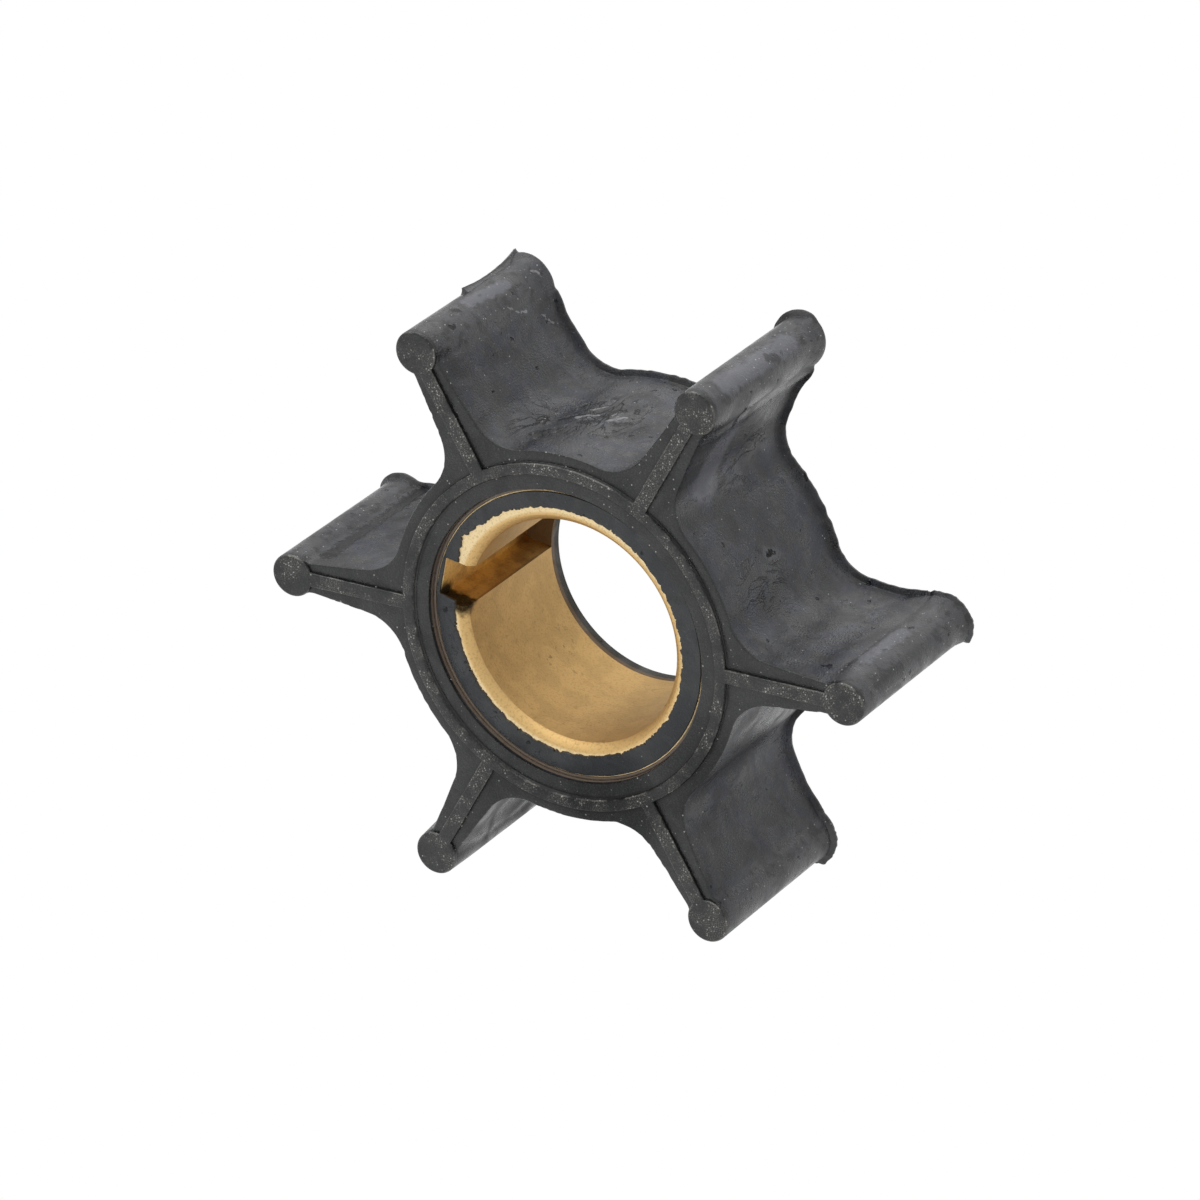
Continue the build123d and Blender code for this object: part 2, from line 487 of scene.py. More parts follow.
def draw_hub_faces(bm, sizes):
    """Both raised rings, the recesses inside them, the seat of the bush and the collar behind it."""
    top, web = HALF_WIDTH, HALF_WIDTH - sizes.relief / MM
    outer = sizes.ring_diameter / 2 / MM
    inner = outer - sizes.ring_width / MM
    bore, collar = sizes.collar_bore / 2 / MM, -BUSH_BACK + 1.8
    ring = [
        (outer + 0.15, web), (outer + 0.04, web - 0.02), (outer - 0.06, top), (inner + 0.12, top),
        (inner - 0.04, web - 0.02), (inner - 0.2, web),
    ]
    bead = BUSH_FRONT + 0.1
    front = rounded(
        ring + [
            (BUSH_RADIUS + 0.1, web), (BUSH_RADIUS + 0.1, BUSH_FRONT - 0.06), (BUSH_RADIUS + 0.03, bead),
            (BUSH_RADIUS - 0.19, bead), (BUSH_RADIUS - 0.22, BUSH_FRONT - 0.03),
        ], 0.1,
    )
    back = rounded(
        ring + [(BUSH_RADIUS, web), (BUSH_RADIUS, collar), (bore + 0.6, collar), (bore, collar - 0.6)], 0.1
    )
    seat = [(BUSH_RADIUS, BUSH_FRONT - 0.25), (BUSH_RADIUS, BUSH_BACK), (bore, BUSH_BACK)]
    join_on(bm, lathe(front + seat + [(distance, -level) for distance, level in reversed(back)], 288))


def draw_film(bm, sizes):
    """The thin film of rubber that ran in over the bush's front face."""
    top, bottom = BUSH_FRONT + 0.16, BUSH_FRONT - 0.05
    outside, inside = 12.97, 11.0
    shares = (
        (0.0, bottom), (0.0, top - 0.04), (0.02, top), (0.3, top), (0.6, top), (0.85, top),
        (0.93, top - 0.01), (0.975, BUSH_FRONT + 0.08), (1.0, bottom), (0.0, bottom),
    )
    film = lathe([(outside + (inside - outside) * share, level) for share, level in shares], 1080)
    bmesh.ops.remove_doubles(film, verts=film.verts, dist=0.001)
    for vert in film.verts:
        distance = math.hypot(vert.co.x, vert.co.z)
        out = Vector((vert.co.x, 0, vert.co.z)) / distance
        share = (distance - outside) / (inside - outside)
        begin = outside + 0.03 * bumps(out * 13, 1.1, 2)
        end = min(max(film_edge(out), keyway_clear(out, sizes)), begin - 0.15)
        place = out * (begin + (end - begin) * share)
        vert.co = Vector((place.x, vert.co.y, place.z))
        if -vert.co.y > BUSH_FRONT + 0.1:
            vert.co.y -= 0.015 * bumps(place, 1.3, 1)
    join_on(bm, film)


def draw_ribs(bm, sizes):
    """The raised rib down each vane at both ends, with its top edges rounded."""
    web, top = HALF_WIDTH - sizes.relief / MM, HALF_WIDTH - 0.01
    begin = sizes.ring_diameter / 2 / MM - 0.4
    end = (sizes.tip_diameter / 2 - sizes.bead_diameter) / MM + 0.3
    depth = top - web + 0.3
    for side in (1, -1):
        rib = bmesh.new()
        bmesh.ops.create_cube(rib, size=1)
        bmesh.ops.scale(rib, verts=rib.verts, vec=(end - begin, depth, sizes.rib_width / MM))
        bmesh.ops.translate(rib, verts=rib.verts, vec=((begin + end) / 2, -side * (top - depth / 2), 0))
        upper = [
            edge for edge in edges_at(rib, side * top)
            if abs(edge.verts[0].co.z - edge.verts[1].co.z) < 1e-4
        ]
        bmesh.ops.bevel(
            rib, geom=upper, offset=0.14, segments=3, profile=0.5, affect="EDGES", material=-1
        )
        at_every_vane(rib)
        join_on(bm, rib)


def draw_bead_ends(bm, sizes):
    """The ends of the beads, which stand above the web and have rounded rims."""
    radius = sizes.bead_diameter / 2 / MM
    at = sizes.tip_diameter / 2 / MM - radius
    for side in (1, -1):
        end = bmesh.new()
        bmesh.ops.create_cone(
            end, cap_ends=True, segments=72, radius1=radius + 0.004, radius2=radius + 0.004, depth=1.2,
            matrix=Matrix.Translation((at, -side * (HALF_WIDTH - 0.6), 0)) @ FACING,
        )
        bmesh.ops.bevel(
            end, geom=edges_at(end, side * HALF_WIDTH), offset=0.25, segments=4, profile=0.5,
            affect="EDGES", material=-1,
        )
        at_every_vane(end)
        join_on(bm, end)


def draw_fin(bm, sizes):
    """The torn fin of flash on the crest of one bead, wide at its foot and thin at its torn edge."""
    crest, buried = sizes.tip_diameter / 2 / MM, 0.32
    fin = bmesh.new()
    bmesh.ops.create_grid(fin, x_segments=48, y_segments=8, size=0.5)
    bmesh.ops.solidify(fin, geom=fin.faces[:], thickness=1.0)
    middle = sum(vert.co.z for vert in fin.verts) / len(fin.verts)
    for vert in fin.verts:
        along, up = vert.co.x + 0.5, vert.co.y + 0.5
        level = -HALF_WIDTH + 0.02 + 8.7 * along
        tall = 0.18 + 0.64 * (1 - along) ** 3.5 + 0.29 * along**4
        tall += 0.05 * bumps(Vector((0, level, up)), 0.6, 4)
        half = 0.13 + 0.85 * (1 - up) ** 2.2
        lean = 0.06 * bumps(Vector((0, level, 0)), 1.5, 8) * up
        level += 0.25 * (1 - up) * (along > 0.99)
        aside = lean + math.copysign(half, vert.co.z - middle)
        vert.co = Vector((crest - buried + (tall + buried) * up, -level, aside))
    bmesh.ops.rotate(fin, verts=fin.verts, cent=ORIGIN, matrix=Matrix.Rotation(math.radians(120), 3, AXIS))
    join_on(bm, fin)


class IMPELLER_OT_rubber(bpy.types.Operator):
    """Build the rubber moulding: hub, beaded vanes, raised ring and ribs, film, collar and flash"""

    bl_idname = "impeller.rubber"
    bl_label = "Rubber moulding"

    def execute(self, context):
        sizes = context.scene.impeller_rubber
        web = HALF_WIDTH - sizes.relief / MM
        bm = bmesh.new()
        draw_walls(bm, draw_star(bm, sizes), sizes)
        draw_hub_faces(bm, sizes)
        close_end(bm, web)
        close_end(bm, -web)
        draw_film(bm, context.scene.impeller_brass)
        draw_ribs(bm, sizes)
        draw_bead_ends(bm, sizes)
        draw_fin(bm, sizes)
        bmesh.ops.recalc_face_normals(bm, faces=bm.faces)
        finished(bm, "rubber_moulding", "impeller_body", moulded_rubber(sizes))
        return {"FINISHED"}


# The brass bush


def draw_bore(bm, sizes):
    """The outline of the bore and its keyway, drawn with the keyway on +X and then turned."""
    bore = sizes.bore_diameter / 2 / MM
    half = sizes.keyway_width / 2 / MM
    floor = sizes.keyway_floor / MM
    corner = math.degrees(math.asin(half / bore))
    start = bm.verts.new((bore * math.cos(math.radians(corner)), 0, half))
    vert = swing(bm, start, ORIGIN, 360 - 2 * corner, 0.25)
    vert = draw_to(bm, vert, (floor, 0, -half), 1.0)
    vert = draw_to(bm, vert, (floor, 0, half), 1.0)
    draw_to(bm, vert, start.co, 1.0)
    bmesh.ops.remove_doubles(bm, verts=bm.verts, dist=0.01)
    return in_order(bm)


class IMPELLER_OT_bush(bpy.types.Operator):
    """Build the brass bush with its chamfered mouth and its keyway"""

    bl_idname = "impeller.bush"
    bl_label = "Brass bush"

    def execute(self, context):
        sizes = context.scene.impeller_brass
        bore = sizes.bore_diameter / 2 / MM
        half = sizes.keyway_width / 2 / MM
        chamfer = sizes.bore_chamfer / MM
        bm = bmesh.new()
        ring = draw_bore(bm, sizes)
        places = [vert.co.copy() for vert in ring]

        def at(widen, level):
            """The outline at a level, with its bore widened and its keyway as it is."""
            out = []
            for place in places:
                distance = math.hypot(place.x, place.z)
                if distance < bore + widen and place.x > 0 and abs(abs(place.z) - half) < 1e-3:
                    side = math.copysign(half, place.z)
                    out.append(Vector((math.sqrt((bore + widen) ** 2 - half**2), -level, side)))
                elif distance < bore + 1e-3:
                    wider = Vector((place.x, 0, place.z)) * (bore + widen) / distance
                    out.append(wider - Vector((0, level, 0)))
                else:
                    out.append(Vector((place.x, -level, place.z)))
            return out

        for vert, place in zip(ring, at(chamfer + 0.03, BUSH_FRONT)):
            vert.co = place
        front = ring
        ring = drawn_on(bm, ring, at(chamfer - 0.02, BUSH_FRONT - 0.02))
        ring = drawn_on(bm, ring, at(0.03, BUSH_FRONT - chamfer + 0.02))
        ring = drawn_on(bm, ring, at(0.0, BUSH_FRONT - chamfer - 0.04))
        for step in range(1, 9):
            level = BUSH_FRONT - chamfer - 0.04 + (BUSH_BACK - BUSH_FRONT + chamfer + 0.04) * step / 8
            ring = drawn_on(bm, ring, at(0.0, level))
        made = bmesh.ops.create_circle(
            bm, segments=256, radius=BUSH_RADIUS - 0.25,
            matrix=Matrix.Translation((0, -BUSH_FRONT, 0)) @ FACING,
        )
        front_rim = made["verts"]
        front_rim.sort(key=lambda vert: math.atan2(vert.co.z, vert.co.x))
        rim = front_rim
        for level in (BUSH_FRONT - 0.25, BUSH_BACK):
            rim = drawn_on(bm, rim, [
                Vector((vert.co.x, 0, vert.co.z)).normalized() * BUSH_RADIUS - Vector((0, level, 0))
                for vert in rim
            ])
        bmesh.ops.triangle_fill(bm, edges=edges_of(front) + edges_of(front_rim), use_beauty=True)
        bmesh.ops.triangle_fill(bm, edges=edges_of(ring) + edges_of(rim), use_beauty=True)
        bmesh.ops.rotate(
            bm, verts=bm.verts, cent=ORIGIN, matrix=Matrix.Rotation(sizes.keyway_angle, 3, AXIS)
        )
        bmesh.ops.recalc_face_normals(bm, faces=bm.faces)
        finished(bm, "brass_bush", "hub_bush", turned_brass(sizes), smooth=25)
        return {"FINISHED"}


# Materials

# Marks on the rubber, by colour and depth: where each begins and ends, and its width. Most are wear and dirt;
# some are painted highlights, a painted reflection and painted shade.
WEAR_AND_PAINTED_LIGHT = (
    # Painted highlights: light bands along the upper sides of the beads at 60°, 0° and 120°, and a broad
    # light patch over the shaded hollow of the 60° vane's flank.
    ("#5A5B62", 0.0, (
        ((14.6, -6.0, 25.0), (14.8, 4.5, 24.9), 2.4),
        ((26.6, -4.6, 2.0), (26.7, 1.6, 2.0), 1.7),
        ((-13.0, -1.5, 25.2), (-12.4, 3.5, 25.2), 1.6),
        ((12.9, -2.8, 18.9), (11.1, -4.0, 14.8), 5.0),
    )),
    ("#7C7C7F", 0.0, (
        # Painted reflection of the floor: a light band along the underside of the 0° bead.
        ((28.2, -6.5, -1.6), (28.3, 6.0, -1.5), 1.7),
        ((-11.5, 2.2, 23.6), (-10.9, 4.2, 22.6), 0.35),
        ((-10.6, 5.8, 21.9), (-10.0, 7.2, 20.6), 0.35),
        ((-12.6, 6.4, 25.3), (-11.9, 7.6, 25.0), 0.4),
        ((-11.9, 7.6, 25.0), (-11.5, 7.9, 24.2), 0.4),
        ((-2.6, -1.3, 16.8), (-1.2, -0.4, 16.9), 0.6),
        ((0.2, -1.1, 16.9), (1.0, 0.2, 16.9), 0.6),
        ((-2.4, 0.5, 16.8), (-1.3, 1.5, 16.9), 0.5),
    )),
    ("#44454B", 0.0, (
        ((13.8, -4.2, 20.1), (15.0, -3.0, 21.9), 1.8),
        ((15.1, -0.5, 7.7), (15.3, 0.4, 7.3), 1.5),
        ((11.3, -1.2, 13.0), (11.7, 1.4, 12.6), 0.5),
        ((12.4, 3.2, 11.5), (12.9, 4.4, 10.9), 0.4),
        ((10.9, -3.6, 14.3), (11.4, -2.0, 13.5), 0.4),
    )),
    ("#28282B", 0.5, (
        ((14.9, 0.8, 24.8), (15.1, 1.6, 24.5), 1.3),
        ((28.6, -6.4, 0.9), (28.8, -2.6, 0.7), 1.3),
        ((-12.3, -1.6, 25.9), (-12.6, 0.4, 25.6), 1.0),
    )),
    ("#141417", 2.2, (
        ((-13.0, -3.7, 25.3), (-12.9, -3.4, 25.3), 0.9),
        ((-12.0, -5.7, 24.7), (-12.0, -5.4, 24.7), 0.8),
        # Painted shade: a dark stripe in the crease between the 180° vane and its bead.
        ((-24.6, -7.0, 1.5), (-24.7, 8.0, 1.5), 1.7),
        ((-3.9, -1.7, 16.5), (-2.9, -0.7, 16.7), 0.8),
        ((-1.9, -2.3, 16.8), (-0.7, -1.5, 16.9), 0.7),
        ((-1.0, 0.4, 16.9), (0.4, 1.2, 16.9), 0.6),
        ((1.2, -1.5, 16.9), (2.2, -0.5, 16.8), 0.8),
        ((-3.2, 1.6, 16.6), (-2.2, 2.4, 16.8), 0.6),
    )),
    ("#060606", 4.0, (
        ((13.9, -3.8, 20.2), (15.0, -3.8, 21.8), 0.9),
        ((15.1, -0.3, 7.6), (15.2, 0.2, 7.4), 0.8),
        ((23.7, -6.7, 1.8), (25.3, -6.2, 1.6), 0.4),
    )),
)
# Where the rubber is worn into flakes: the middle, how far that is full, how far it reaches, its share.
WORN = (
    ((-1.0, -0.2, 16.9), 2.0, 5.5, 1.0),
    ((-4.0, -3.0, 16.4), 1.0, 5.0, 0.9),
    ((11.0, 2.0, 15.0), 1.0, 5.0, 0.5),
    ((-14.0, -1.0, 18.5), 1.0, 5.0, 1.0),
    ((16.0, -2.5, 6.5), 1.0, 5.0, 0.4),
)
# Where greasy dirt takes the shine away, given in the same way.
DULL = (
    ((-7.5, 0.0, -20.0), 5.0, 9.0, 1.0),
    ((14.0, -4.0, -10.0), 3.8, 9.5, 0.75),
    ((-23.0, 0.0, 2.0), 3.2, 8.0, 0.6),
    ((-3.0, -9.0, -17.0), 3.6, 9.0, 0.4),
    ((4.0, -9.0, -14.5), 2.8, 7.0, 0.8),
)


def add(tree, kind, inputs=None, **settings):
    """Adds a node, with its settings and with its inputs given as values, sockets or other nodes."""
    node = tree.nodes.new(kind)
    for name, value in settings.items():
        setattr(node, name, value)
    for name, value in (inputs or {}).items():
        if isinstance(value, bpy.types.Node):
            value = next(socket for socket in value.outputs if socket.enabled)
        if isinstance(value, bpy.types.NodeSocket):
            tree.links.new(value, node.inputs[name])
        else:
            node.inputs[name].default_value = value
    return node


def new_material(name):
    """An empty material with only its output."""
    material = bpy.data.materials.new(name)
    material.use_nodes = True
    material.node_tree.nodes.clear()
    return material, material.node_tree


def whole(tree, *masks):
    """Where all the masks hold at once."""
    made = masks[0]
    for mask in masks[1:]:
        made = add(tree, "ShaderNodeMath", {0: made, 1: mask}, operation="MULTIPLY")
    return made


def either(tree, *masks):
    """Where any of the masks holds."""
    made = masks[0]
    for mask in masks[1:]:
        made = add(tree, "ShaderNodeMath", {0: made, 1: mask}, operation="MAXIMUM")
    return made


def within(tree, value, *edges):
    """1 where a value lies within soft edges, each given as where it is still 0 and where it is fully 1."""
    return whole(tree, *(
        add(
            tree, "ShaderNodeMapRange", {"Value": value, "From Min": none, "From Max": full},
            interpolation_type="SMOOTHSTEP",
        )
        for none, full in edges
    ))


def patches(tree, place, size, edge, detail=3.0, distortion=0.0, height=None):
    """Soft patches about as large as a size in millimetres, or the thin wandering lines where the same
    noise passes a height."""
    value = add(
        tree, "ShaderNodeTexNoise",
        {"Vector": place, "Scale": 1 / (size * MM), "Detail": detail, "Distortion": distortion},
    )
    if height:
        value = add(tree, "ShaderNodeMath", {0: value, 1: height}, operation="SUBTRACT")
        value = add(tree, "ShaderNodeMath", {0: value}, operation="ABSOLUTE")
    return within(tree, value, edge)


def specks(tree, place, spacing, size, share):
    """Round specks, of a size and spacing in millimetres, in a share of the places they could be."""
    cells = add(tree, "ShaderNodeTexVoronoi", {"Vector": place, "Scale": 1 / (spacing * MM)})
    dot = within(tree, cells, (size / spacing, size / spacing * 0.5))
    pick = add(tree, "ShaderNodeSeparateColor", {"Color": cells.outputs["Color"]})
    return whole(tree, dot, add(tree, "ShaderNodeMath", {0: pick, 1: share}, operation="LESS_THAN"))


def near(tree, place, *spots):
    """Round soft patches, each given as its middle, how far it is full, how far it reaches, its share."""
    made = []
    for spot, full, reach, share in spots:
        away = add(tree, "ShaderNodeVectorMath", {0: place, 1: Vector(spot) * MM}, operation="DISTANCE")
        made.append(whole(tree, within(tree, away, (reach * MM, full * MM)), share))
    return either(tree, *made)


def stroke(tree, place, start, end, width):
    """A mark drawn from one spot to another: 1 along its middle and 0 beyond its width, in millimetres."""
    run = (Vector(end) - Vector(start)) * MM
    out = add(tree, "ShaderNodeVectorMath", {0: place, 1: Vector(start) * MM}, operation="SUBTRACT")
    along = add(tree, "ShaderNodeVectorMath", {0: out, 1: run}, operation="DOT_PRODUCT")
    along = add(tree, "ShaderNodeMath", {0: along, 1: run.length_squared}, operation="DIVIDE")
    along = add(tree, "ShaderNodeClamp", {"Value": along})
    foot = add(tree, "ShaderNodeVectorMath", {0: run, "Scale": along}, operation="SCALE")
    away = add(tree, "ShaderNodeVectorMath", {0: out, 1: foot}, operation="DISTANCE")
    return within(tree, away, (width / 2 * MM, width / 4 * MM))


def ragged(tree, place):
    """The coordinates shaken a little, so that marks placed by them get uneven edges."""
    shake = add(tree, "ShaderNodeTexNoise", {"Vector": place, "Scale": 1.4 / MM, "Detail": 3.0})
    shake = add(
        tree, "ShaderNodeVectorMath", {0: shake.outputs["Color"], 1: (0.5, 0.5, 0.5)}, operation="SUBTRACT"
    )
    shake = add(tree, "ShaderNodeVectorMath", {0: shake, "Scale": 1.2 * MM}, operation="SCALE")
    return add(tree, "ShaderNodeVectorMath", {0: place, 1: shake}, operation="ADD")


def whereabouts(tree):
    """Object coordinates and, in millimetres, the distance from the spin axis, the level and how far
    to the side of the nearest vane's middle."""
    place = add(tree, "ShaderNodeTexCoord").outputs["Object"]
    parts = add(tree, "ShaderNodeSeparateXYZ", {0: place})
    across = add(tree, "ShaderNodeVectorMath", {0: place, 1: (1, 0, 1)}, operation="MULTIPLY")
    distance = add(tree, "ShaderNodeVectorMath", {0: across}, operation="LENGTH")
    distance = add(tree, "ShaderNodeMath", {0: distance, 1: 1 / MM}, operation="MULTIPLY")
    level = add(tree, "ShaderNodeMath", {0: parts.outputs["Y"], 1: -1 / MM}, operation="MULTIPLY")
    turn = add(
        tree, "ShaderNodeMath", {0: parts.outputs["Z"], 1: parts.outputs["X"]}, operation="ARCTAN2"
    )
    turn = add(tree, "ShaderNodeMath", {0: turn, 1: math.pi / VANES}, operation="PINGPONG")
    aside = whole(tree, distance, add(tree, "ShaderNodeMath", {0: turn}, operation="SINE"))
    return place, distance, level, aside


def laid(tree, ground, *coats):
    """Lays coats over a ground, each given as its colour or sRGB hex value and the masks that limit it."""
    for colour, *masks in coats:
        over = linear(colour) if isinstance(colour, str) else colour
        cover = whole(tree, *masks)
        ground = add(tree, "ShaderNodeMix", {"Factor": cover, "A": ground, "B": over}, data_type="RGBA")
    return ground


def skinned(tree, sizes, place, side, bead):
    """The rubber's own cloudy skin, with the dust that clings where it has been handled."""
    dust = patches(tree, place, 2.0, (0.5, 0.6), 9.0, 0.8)
    # Single grains of dust are finer than this speckle, which is drawn coarser so that it shows.
    speckle = patches(tree, place, 0.12, (0.46, 0.64), 2.0)
    smut = patches(tree, place, 0.9, (0.5, 0.64), 5.0, 0.4)
    return laid(
        tree, (*sizes.colour, 1),
        ((*sizes.bloom, 1), patches(tree, place, 4.0, (0.4, 0.6), 5.0)),
        ("#1B2031", patches(tree, place, 2.6, (0.5, 0.64), 3.0, 0.6), 0.8),
        ("#2A251D", patches(tree, place, 1.5, (0.56, 0.66), 5.0, 0.3), 0.6),
        ("#444446", bead, 0.6),
        ("#505054", dust, side, 0.22),
        ("#4A4A4D", speckle, side, 0.3),
        ("#17171A", smut, bead, 0.8),
    )


def worn_side_and_painted_light(tree, tone, place, side):
    """Streaks, scores, pits, nicks and rubbed patches, and the painted highlights, painted reflection and
    painted shade in the table of marks. Returns the colour and two reliefs: how far the streaks stand up and
    how far the rest is sunk."""
    worn = near(tree, place, *WORN)
    stretched = add(tree, "ShaderNodeVectorMath", {0: place, 1: (1.0, 0.4, 1.0)}, operation="MULTIPLY")
    streak = whole(
        tree, patches(tree, stretched, 1.3, (0.022, 0.004), 4.0, 2.2, height=0.5),
        patches(tree, place, 2.0, (0.5, 0.6), 2.0), side,
    )
    scored = whole(tree, patches(tree, stretched, 1.9, (0.03, 0.006), 5.0, 1.4, height=0.47), worn)
    shaken = ragged(tree, place)
    pits = whole(tree, specks(tree, shaken, 1.5, 0.26, 0.3), side)
    paler = add(tree, "ShaderNodeMath", {0: whole(tree, worn, 0.9), 1: 0.1}, operation="ADD")
    tone = laid(tree, tone, ("#8A8A8B", streak, paler), ("#0A0A0B", scored, 0.8), ("#08080A", pits, 0.6))
    sunk = either(tree, whole(tree, pits, 2.5), whole(tree, scored, 3.0))
    for colour, depth, marks in WEAR_AND_PAINTED_LIGHT:
        for start, end, width in marks:
            mark = whole(tree, stroke(tree, shaken, start, end, width), side)
            tone = laid(tree, tone, (colour, mark, 0.9))
            if depth:
                sunk = either(tree, sunk, whole(tree, mark, depth))
    taller = add(tree, "ShaderNodeMath", {0: whole(tree, worn, 2.0), 1: 0.6}, operation="ADD")
    return tone, whole(tree, streak, taller), sunk


def dusty_ends_and_painted_foot_shade(tree, tone, sizes, place, distance, end, aside, bead):
    """The flat ends, sandy from the mould's blasted face. The ring, the ribs and the bead ends rub on
    the pump's covers: they hold dust and mineral grit. Painted shade darkens the feet of the ring and the
    ribs."""
    web = HALF_WIDTH - sizes.relief / MM
    outer = sizes.ring_diameter / 2 / MM
    inner = outer - sizes.ring_width / MM
    half_rib = sizes.rib_width / 2 / MM
    neck = (sizes.tip_diameter / 2 - sizes.bead_diameter) / MM
    # The grain of a blasted mould is finer, and is drawn coarser so that it shows.
    sand = patches(tree, place, 0.12, (0.46, 0.66), 2.0)
    crest = within(tree, end, (web + 0.13, web + 0.23))
    low = within(tree, end, (web + 0.17, web + 0.11), (web - 0.35, web - 0.15))
    by_ring = either(
        tree,
        within(tree, distance, (outer + 0.35, outer + 0.2), (outer - 0.15, outer - 0.1)),
        within(tree, distance, (inner - 0.3, inner - 0.15), (inner + 0.15, inner + 0.1)),
    )
    by_rib = whole(
        tree, within(tree, aside, (half_rib + 0.27, half_rib + 0.13)),
        within(tree, distance, (outer - 0.25, outer - 0.15), (neck + 0.3, neck + 0.1)),
    )
    rim = whole(tree, crest, within(tree, end, (HALF_WIDTH - 0.005, HALF_WIDTH - 0.06)))
    clumps = patches(tree, place, 1.6, (0.42, 0.6), 5.0)
    powder = patches(tree, place, 0.1, (0.5, 0.66), 2.0)
    grit = whole(tree, specks(tree, place, 0.24, 0.085, 0.45), crest, clumps)
    loose = whole(tree, specks(tree, place, 0.7, 0.09, 0.4), within(tree, end, (web - 0.55, web - 0.15)))
    stray = either(
        tree, specks(tree, place, 1.1, 0.085, 0.5), whole(tree, specks(tree, place, 0.5, 0.075, 0.4), bead),
        whole(tree, specks(tree, place, 0.42, 0.06, 0.3), 0.4),
    )
    return laid(
        tree, tone,
        (laid(tree, linear("#0D0E0F"), ("#2A2B2C", sand)), within(tree, end, (web - 0.3, web - 0.05))),
        # Painted shade in the corners at the feet of the ring and the ribs.
        ("#060606", low, either(tree, by_ring, by_rib), 0.75),
        ("#87857E", crest, clumps, powder, 0.65),
        ("#77756F", rim, clumps, 0.5),
        ("#B4B3AC", either(tree, grit, loose, stray), 0.85),
    )


def moulded_rubber(sizes):
    """Moulded nitrile rubber: satin and nearly black, so that it shines most where it is seen aslant."""
    material, tree = new_material("moulded_nitrile_rubber")
    place, distance, level, aside = whereabouts(tree)
    web = HALF_WIDTH - sizes.relief / MM
    neck = (sizes.tip_diameter / 2 - sizes.bead_diameter) / MM
    end = add(tree, "ShaderNodeMath", {0: level}, operation="ABSOLUTE")
    side = within(tree, end, (web - 0.05, web - 0.3))
    bead = whole(tree, within(tree, distance, (neck - 0.1, neck + 0.7)), side)
    tone = skinned(tree, sizes, place, side, bead)
    tone, raised, sunk = worn_side_and_painted_light(tree, tone, place, side)
    tone = dusty_ends_and_painted_foot_shade(tree, tone, sizes, place, distance, end, aside, bead)
    # The film on the bush is cleaner, and the brass stains its thin edges brown. The collar behind is olive
    # grey, with a painted reflection of the brass in brown along its front strip.
    film = whole(
        tree, within(tree, distance, (BUSH_RADIUS + 0.15, BUSH_RADIUS + 0.1)),
        within(tree, level, (BUSH_FRONT - 0.15, BUSH_FRONT - 0.07), (BUSH_FRONT + 0.45, BUSH_FRONT + 0.35)),
    )
    thin = whole(tree, film, within(tree, level, (BUSH_FRONT + 0.14, BUSH_FRONT + 0.1)))
    ridge = whole(tree, film, within(tree, distance, (BUSH_RADIUS - 0.26, BUSH_RADIUS - 0.22)))
    behind = whole(
        tree, within(tree, level, (BUSH_BACK + 0.05, BUSH_BACK + 0.01)),
        within(tree, distance, (BUSH_RADIUS - 0.5, BUSH_RADIUS - 0.6)),
    )
    # Painted reflection of the brass: a brown strip along the front of the collar, by the bush's back end.
    painted_brass_reflection = whole(tree, behind, within(tree, level, (BUSH_BACK - 0.55, BUSH_BACK - 0.35)))
    tone = laid(
        tree, tone, ("#1D2224", film, 0.6), ("#382A1A", thin), ("#74675B", ridge),
        ("#37352C", behind, 0.8), ("#6B5230", painted_brass_reflection),
    )
    grain = add(tree, "ShaderNodeTexNoise", {"Vector": place, "Scale": 1 / (0.16 * MM), "Detail": 3.0})
    relief = add(tree, "ShaderNodeMath", {0: grain, 1: sunk}, operation="SUBTRACT")
    relief = add(tree, "ShaderNodeMath", {0: relief, 1: raised}, operation="ADD")
    bump = add(tree, "ShaderNodeBump", {"Height": relief, "Strength": 0.6, "Distance": 0.08 * MM})
    satin = whole(tree, patches(tree, place, 3.0, (0.36, 0.64), 7.0, 0.7), 0.26)
    satin = add(tree, "ShaderNodeMath", {0: satin, 1: 0.22}, operation="ADD")
    satin = add(tree, "ShaderNodeMath", {0: satin, 1: whole(tree, behind, 0.25)}, operation="ADD")
    dull = either(tree, whole(tree, near(tree, place, *DULL), 0.36), whole(tree, sunk, 0.1))
    shader = add(
        tree, "ShaderNodeBsdfPrincipled",
        {
            "Base Color": tone, "Roughness": satin, "IOR": 1.58, "Normal": bump,
            "Specular IOR Level": add(tree, "ShaderNodeMath", {0: 0.5, 1: dull}, operation="SUBTRACT"),
        },
    )
    add(tree, "ShaderNodeOutputMaterial", {"Surface": shader})
    return material


